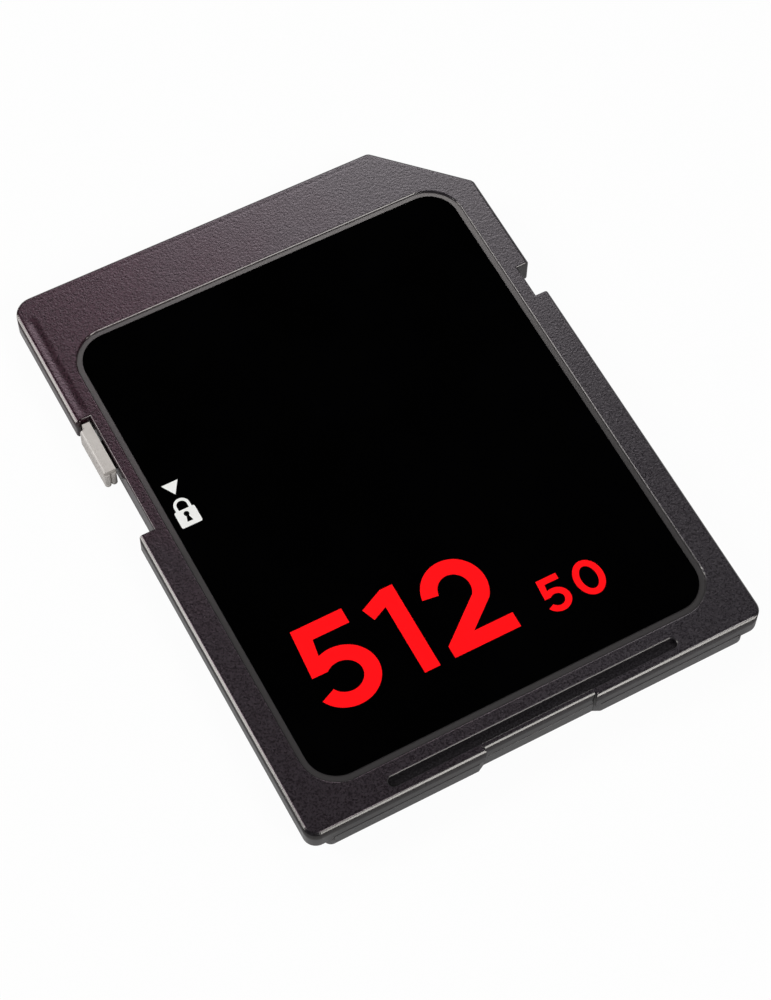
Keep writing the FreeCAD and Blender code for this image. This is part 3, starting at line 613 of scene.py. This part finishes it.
def add_seam_shadow_line():
    """A dark strip of painted shadow that fills the gap over the lower shell's rear lip."""
    depth, height = 0.04, 0.07
    face = CARD_REAR + 0.005 + depth / 2
    notch_face = face + REAR_NOTCH_DEPTH
    ends = LIP_RIGHT - 0.02
    mouth = REAR_NOTCH_HALF + 0.35
    path = [(-ends, face), (-mouth, face), (-REAR_NOTCH_HALF, notch_face), (REAR_NOTCH_HALF, notch_face),
            (mouth, face), (ends, face)]
    curve = bpy.data.curves.new("seam_shadow_path", "CURVE")
    curve.dimensions = "3D"
    add_line(curve, path, LIP_TOP + LIP_GAP / 2, False)
    drawing = start_drawing("seam_shadow_path", curve)
    add_geometry_nodes(drawing, "sweep", make_bar_sweep(),
                       {"Depth": depth * MM, "Height": height * MM, "Finish": seam_shadow_black})
    piece = finish_drawing(drawing, "seam_shadow_line")
    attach(piece, "card")


# Painted shadow strip in the rear seam.
add_seam_shadow_line()


# Print on the label

def arc(centre, radii, start, end, steps=40):
    """Points on an ellipse from one angle to another, in degrees."""
    points = []
    for step in range(steps + 1):
        angle = math.radians(start + (end - start) * step / steps)
        points.append((centre[0] + radii[0] * math.cos(angle), centre[1] + radii[1] * math.sin(angle)))
    return points


def moved(loops, offset, scale=1.0):
    """Outlines at another place and scale."""
    return [[(offset[0] + scale * x, offset[1] + scale * y) for x, y in loop] for loop in loops]


def figure_five():
    """Outline of a plain 5, 4.75 high with strokes 0.8 wide."""
    bowl = (1.55, 1.58)
    outer = arc(bowl, (1.70, 1.58), 205, 472)
    inner = arc(bowl, (0.88, 0.80), 135, -155)
    bar = [(1.06, 3.93), (2.98, 3.93), (2.98, 4.75), (0.30, 4.75), (0.12, 2.15)]
    return [outer + bar + inner]


def figure_one():
    """Outline of a plain 1."""
    return [[(1.05, 0.0), (1.87, 0.0), (1.87, 4.75), (1.22, 4.75), (0.0, 4.18), (0.28, 3.48), (1.05, 3.84)]]


def figure_two():
    """Outline of a plain 2."""
    bend = (1.72, 3.07)
    outer = arc(bend, (1.62, 1.68), 172, -38)
    inner = arc(bend, (0.80, 0.87), -38, 172)
    foot = [(1.50, 0.82), (3.55, 0.82), (3.55, 0.0), (0.05, 0.0), (0.05, 0.66)]
    return [outer + foot + inner]


def figure_nought():
    """Outline of a plain 0, with the hole in it."""
    middle = (1.85, 2.375)
    return [arc(middle, (1.85, 2.375), 0, 350, 60), arc(middle, (1.02, 1.56), 0, 350, 60)]


def lock_outline():
    """Outline of a closed padlock with the hole of its shackle and its keyhole."""
    x = -9.482
    low, high, half, corner = 0.76, 1.71, 0.535, 0.09
    bend = 1.93
    shackle = 0.41
    inside = shackle - 0.15
    round_corner = (corner, corner)
    body = (arc((x - half + corner, low + corner), round_corner, 180, 270, 8)
            + arc((x + half - corner, low + corner), round_corner, 270, 360, 8)
            + arc((x + half - corner, high - corner), round_corner, 0, 90, 8)
            + [(x + shackle, high)] + arc((x, bend), (shackle, shackle), 0, 180, 30) + [(x - shackle, high)]
            + arc((x - half + corner, high - corner), round_corner, 90, 180, 8))
    hole = [(x + inside, high)] + arc((x, bend), (inside, inside), 0, 180, 30) + [(x - inside, high)]
    keyhole = [(x - 0.155, 1.0), (x + 0.155, 1.0)] + arc((x, 1.43), (0.14, 0.14), -62, 242, 30)
    return [body, hole, keyhole]


def print_ink(name, loops, material):
    """A thin film of ink on the label, from closed outlines. An outline inside another is a hole."""
    curve = bpy.data.curves.new(name, "CURVE")
    curve.dimensions = "2D"
    curve.fill_mode = "BOTH"
    curve.extrude = INK_HEIGHT * MM / 2
    for loop in loops:
        add_line(curve, loop, 0.0, True)
    piece = finish_drawing(start_drawing(name + "_drawing", curve), name, LABEL_TOP * MM + curve.extrude)
    piece.data.materials.clear()
    piece.data.materials.append(material)
    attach(piece, "card")


large_figure = (moved(figure_five(), (-8.35, -11.2)) + moved(figure_one(), (-4.55, -11.2))
                + moved(figure_two(), (-1.95, -11.2)))
small_figure = moved(figure_five(), (3.2, -11.42), 0.4) + moved(figure_nought(), (4.95, -11.42), 0.4)
lock_arrow = [[(-9.906, 3.305), (-9.49, 2.6), (-9.039, 3.305)]]
print_ink("large_figure", large_figure, red_ink)
print_ink("small_figure", small_figure, red_ink)
print_ink("lock_arrow", lock_arrow, grey_ink)
print_ink("lock_sign", lock_outline(), grey_ink)


# Stage, light and camera

def background_share(tree, direct, glossy):
    """How much of the white background a ray meets, straight or through glass, and in a shiny surface."""
    rays = add_node(tree, "ShaderNodeLightPath").outputs
    seen = calculate(tree, "MAXIMUM", rays["Is Camera Ray"], rays["Is Transmission Ray"])
    seen = calculate(tree, "MULTIPLY", seen, direct)
    return calculate(tree, "MAXIMUM", seen, calculate(tree, "MULTIPLY", rays["Is Glossy Ray"], glossy))


def make_floor():
    """A plain white floor that keeps the card's shadow."""
    mesh = bpy.data.meshes.new("floor")
    reach = 1.5
    height = -0.01 * MM
    mesh.from_pydata([(-reach, -reach, height), (reach, -reach, height), (reach, reach, height),
                      (-reach, reach, height)], [], [(0, 1, 2, 3)])
    floor = bpy.data.objects.new("floor", mesh)
    scene.collection.objects.link(floor)
    material = bpy.data.materials.new("floor_white")
    material.use_nodes = True
    tree = material.node_tree
    tree.nodes.clear()
    lit = add_node(tree, "ShaderNodeBsdfDiffuse", {"Color": (0.6, 0.6, 0.6, 1)})
    white = add_node(tree, "ShaderNodeEmission", {"Color": WHITE, "Strength": 1.0})
    mix = add_node(tree, "ShaderNodeMixShader",
                   {0: background_share(tree, 0.96, 0.1), 1: lit.outputs[0], 2: white.outputs[0]})
    add_node(tree, "ShaderNodeOutputMaterial", {"Surface": mix.outputs[0]})
    mesh.materials.append(material)


def make_world():
    """Dim light from above and a pale horizon all round, seen as white by the camera."""
    world = bpy.data.worlds.new("studio")
    scene.world = world
    world.use_nodes = True
    tree = world.node_tree
    tree.nodes.clear()
    coordinates = add_node(tree, "ShaderNodeTexCoord")
    horizon = soft_step(tree, axes_of(tree, coordinates.outputs["Generated"])["Z"], 0.45, 0.1)
    dim = add_node(tree, "ShaderNodeBackground",
                   {"Color": WHITE, "Strength": add_share(tree, 0.05, horizon, 0.8)})
    white = add_node(tree, "ShaderNodeBackground", {"Color": WHITE, "Strength": 1.0})
    mix = add_node(tree, "ShaderNodeMixShader",
                   {0: background_share(tree, 1.0, 0.02), 1: dim.outputs[0], 2: white.outputs[0]})
    add_node(tree, "ShaderNodeOutputWorld", {"Surface": mix.outputs[0]})


def softbox(name, direction, distance, width, height, radiance):
    """A lamp of even brightness that faces the card, round if it is as wide as it is high. Sizes in metres."""
    lamp = bpy.data.lights.new(name, "AREA")
    lamp.shape = "DISK" if width == height else "RECTANGLE"
    lamp.size = width
    lamp.size_y = height
    area = math.pi / 4 * width * width if width == height else width * height
    lamp.energy = radiance * math.pi * area
    holder = bpy.data.objects.new(name, lamp)
    away = Vector(direction).normalized()
    holder.location = away * distance
    holder.rotation_euler = away.to_track_quat("Z", "Y").to_euler()
    holder.visible_camera = False
    scene.collection.objects.link(holder)


def make_camera():
    """The camera at the place that the card's outline in the photo gives."""
    lens = bpy.data.cameras.new("photo_camera")
    lens.sensor_width = 36
    lens.lens = 98.332
    lens.shift_x = -0.0695
    lens.clip_start = 0.005
    camera = bpy.data.objects.new("photo_camera", lens)
    camera.location = (-31.755 * MM, -57.299 * MM, 115.983 * MM)
    camera.rotation_euler = Euler([math.radians(turn) for turn in (28.983, -1.899, -28.964)], "XYZ")
    scene.collection.objects.link(camera)
    scene.camera = camera


make_floor()
make_world()

# The far lamp is three discs, one behind the other, so that its light fades outwards.
FAR_SIDE = (0.34, 0.66, 0.67)
softbox("far_softbox", FAR_SIDE, 0.40, 0.09, 0.09, 5.0)
softbox("far_diffuser", FAR_SIDE, 0.41, 0.145, 0.145, 3.6)
softbox("far_halo", FAR_SIDE, 0.42, 0.21, 0.21, 2.1)
softbox("left_softbox", (-0.69, 0.45, 0.57), 0.40, 0.15, 0.19, 13.5)
softbox("front_softbox", (0.26, -0.69, 0.67), 0.40, 0.16, 0.17, 13.0)
make_camera()
